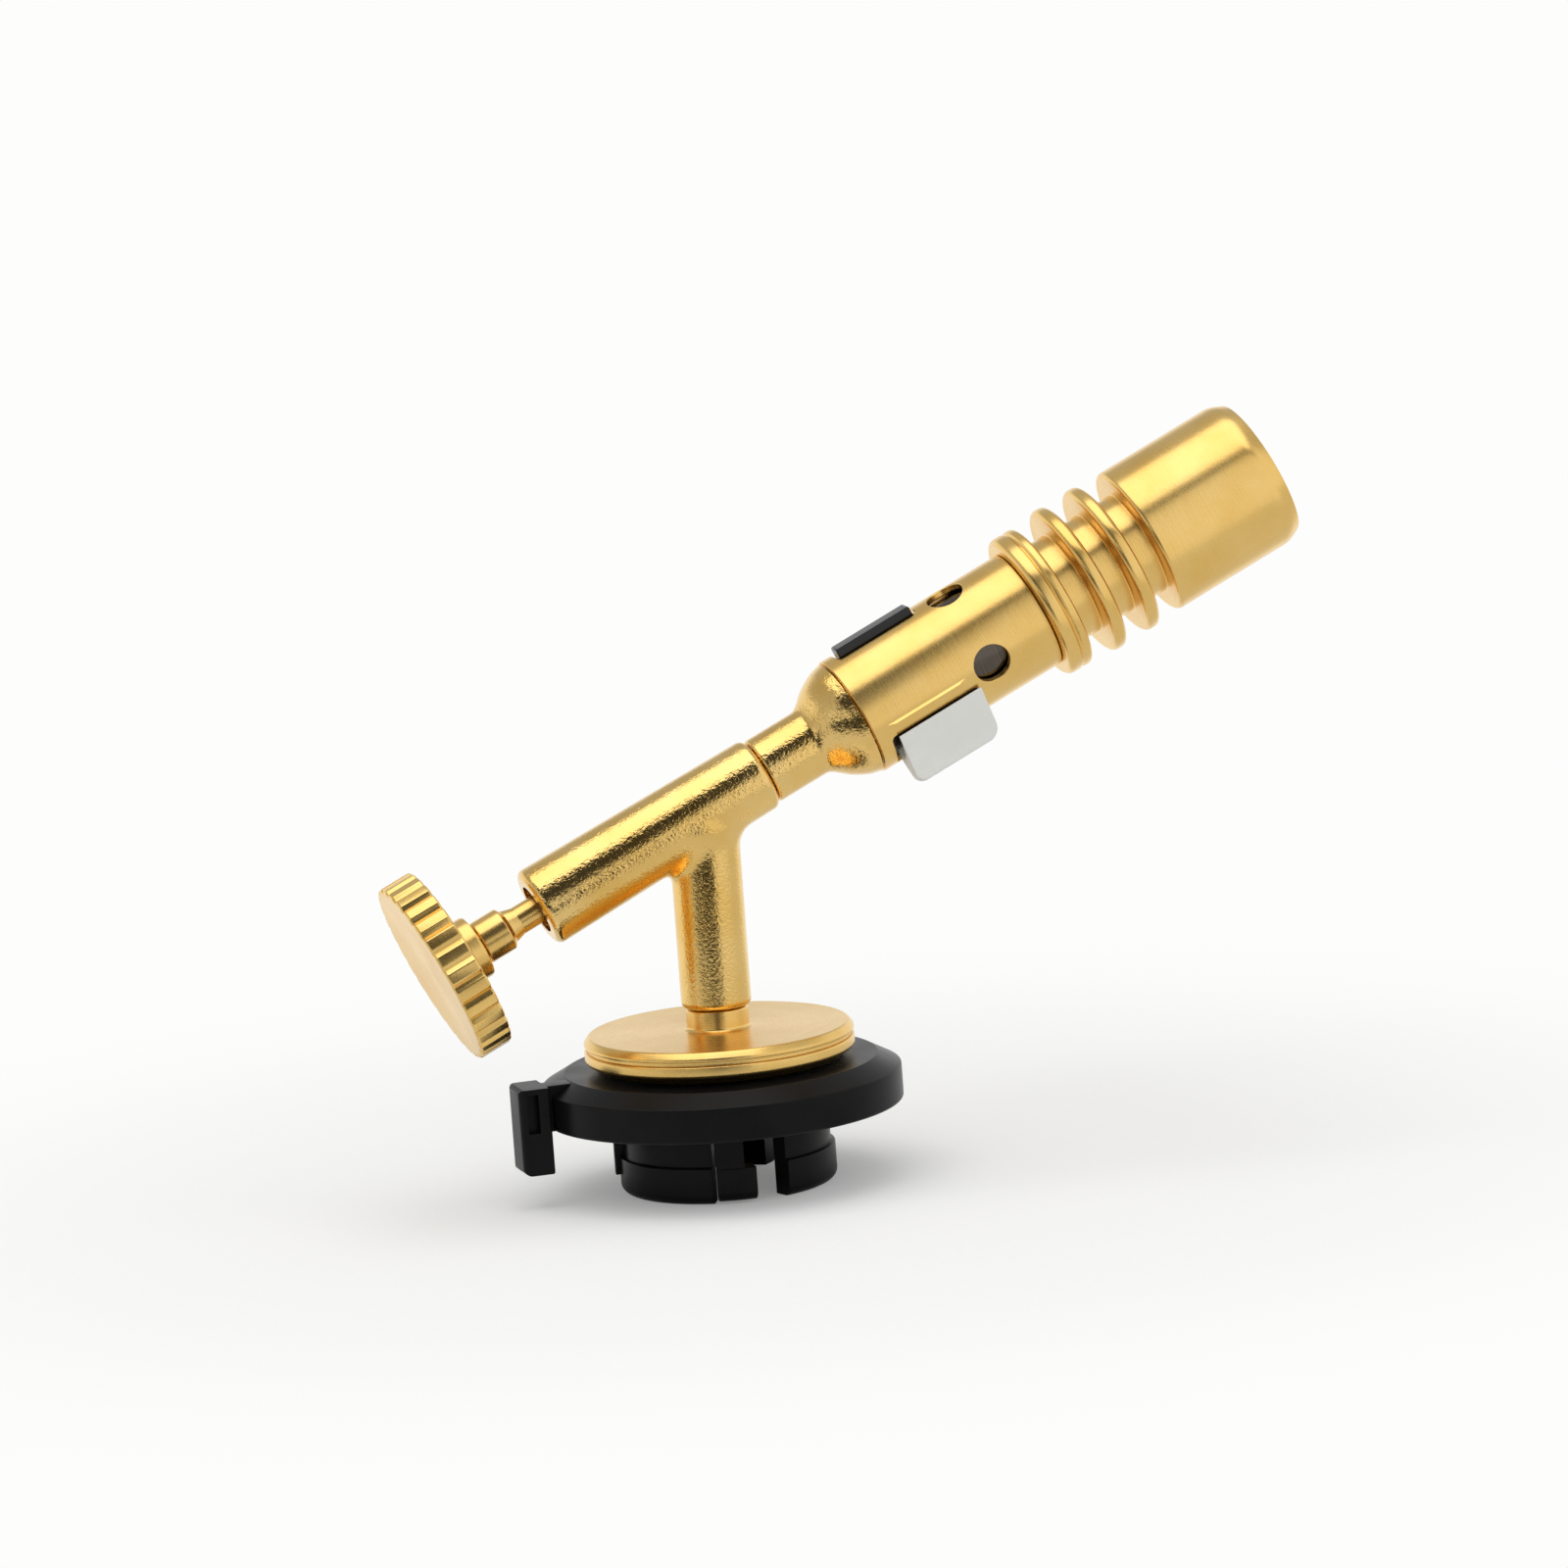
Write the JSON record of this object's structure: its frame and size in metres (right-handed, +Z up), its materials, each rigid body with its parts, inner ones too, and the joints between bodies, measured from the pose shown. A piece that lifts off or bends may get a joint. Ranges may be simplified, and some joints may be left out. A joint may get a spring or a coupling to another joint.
{
  "type": "gas torch head",
  "caption": "Brass gas torch head on a black bayonet can base, with a ridged control knob, an air shutter with a side tab, cooling fins and a flame nozzle.",
  "frame": {"origin": "centre of the bayonet collar's foot, on the axis of the stem and base", "axes": "+Z up the stem, +X towards the flame end of the inclined burner tube, the knob towards -X, +Y across"},
  "size_m": [0.1206, 0.045, 0.0904],
  "materials": {
    "satin_brass": "satin turned",
    "cast_brass": "polished casting",
    "plain_brass": "plain machined",
    "steel": "brushed",
    "sintered_bronze": "porous",
    "black_plastic": "satin moulded",
    "grey_plastic": "satin moulded",
    "rubber": "matte",
    "fibre": "matte"
  },
  "bodies": {
    "torch": {"bayonet_base": "black_plastic", "base_screw_1": "steel", "base_screw_2": "steel", "base_screw_3": "steel", "mounting_disc": "satin_brass", "inlet_fitting": "plain_brass", "inlet_seal": "rubber", "inlet_filter": "sintered_bronze", "stem_washer": "fibre", "valve_body": "cast_brass", "gland_nut": "plain_brass", "spindle_seal": "rubber", "jet_dome": "cast_brass", "gas_jet": "plain_brass", "jet_filter": "sintered_bronze", "dome_seal": "rubber", "mixer_barrel": "satin_brass", "burner_head": "satin_brass", "flame_holder": "steel"},
    "needle": {"valve_needle": "steel"},
    "knob": {"control_knob": "satin_brass", "valve_spindle": "satin_brass"},
    "air_shutter": {"air_sleeve": "steel", "air_tab": "grey_plastic", "air_grip": "black_plastic"}
  },
  "joints": [
    {"name": "knob_travel", "type": "slide", "parent": "torch", "child": "needle", "axis": [-0.9092, 0, -0.4163], "range_m": [0, 0.0016]},
    {"name": "knob_turn", "type": "hinge", "parent": "needle", "child": "knob", "pos_m": [-0.03182, 0, 0.03303], "axis": [-0.9092, 0, -0.4163], "range_deg": [0, 720]},
    {"name": "air_turn", "type": "hinge", "parent": "torch", "child": "air_shutter", "pos_m": [0.03091, 0, 0.06175], "axis": [-0.9092, 0, -0.4163], "range_deg": [0, 36]}
  ],
  "couplings": [
    {"joint": "knob_turn", "follows": "knob_travel", "rad_per_m": 7853.9}
  ]
}
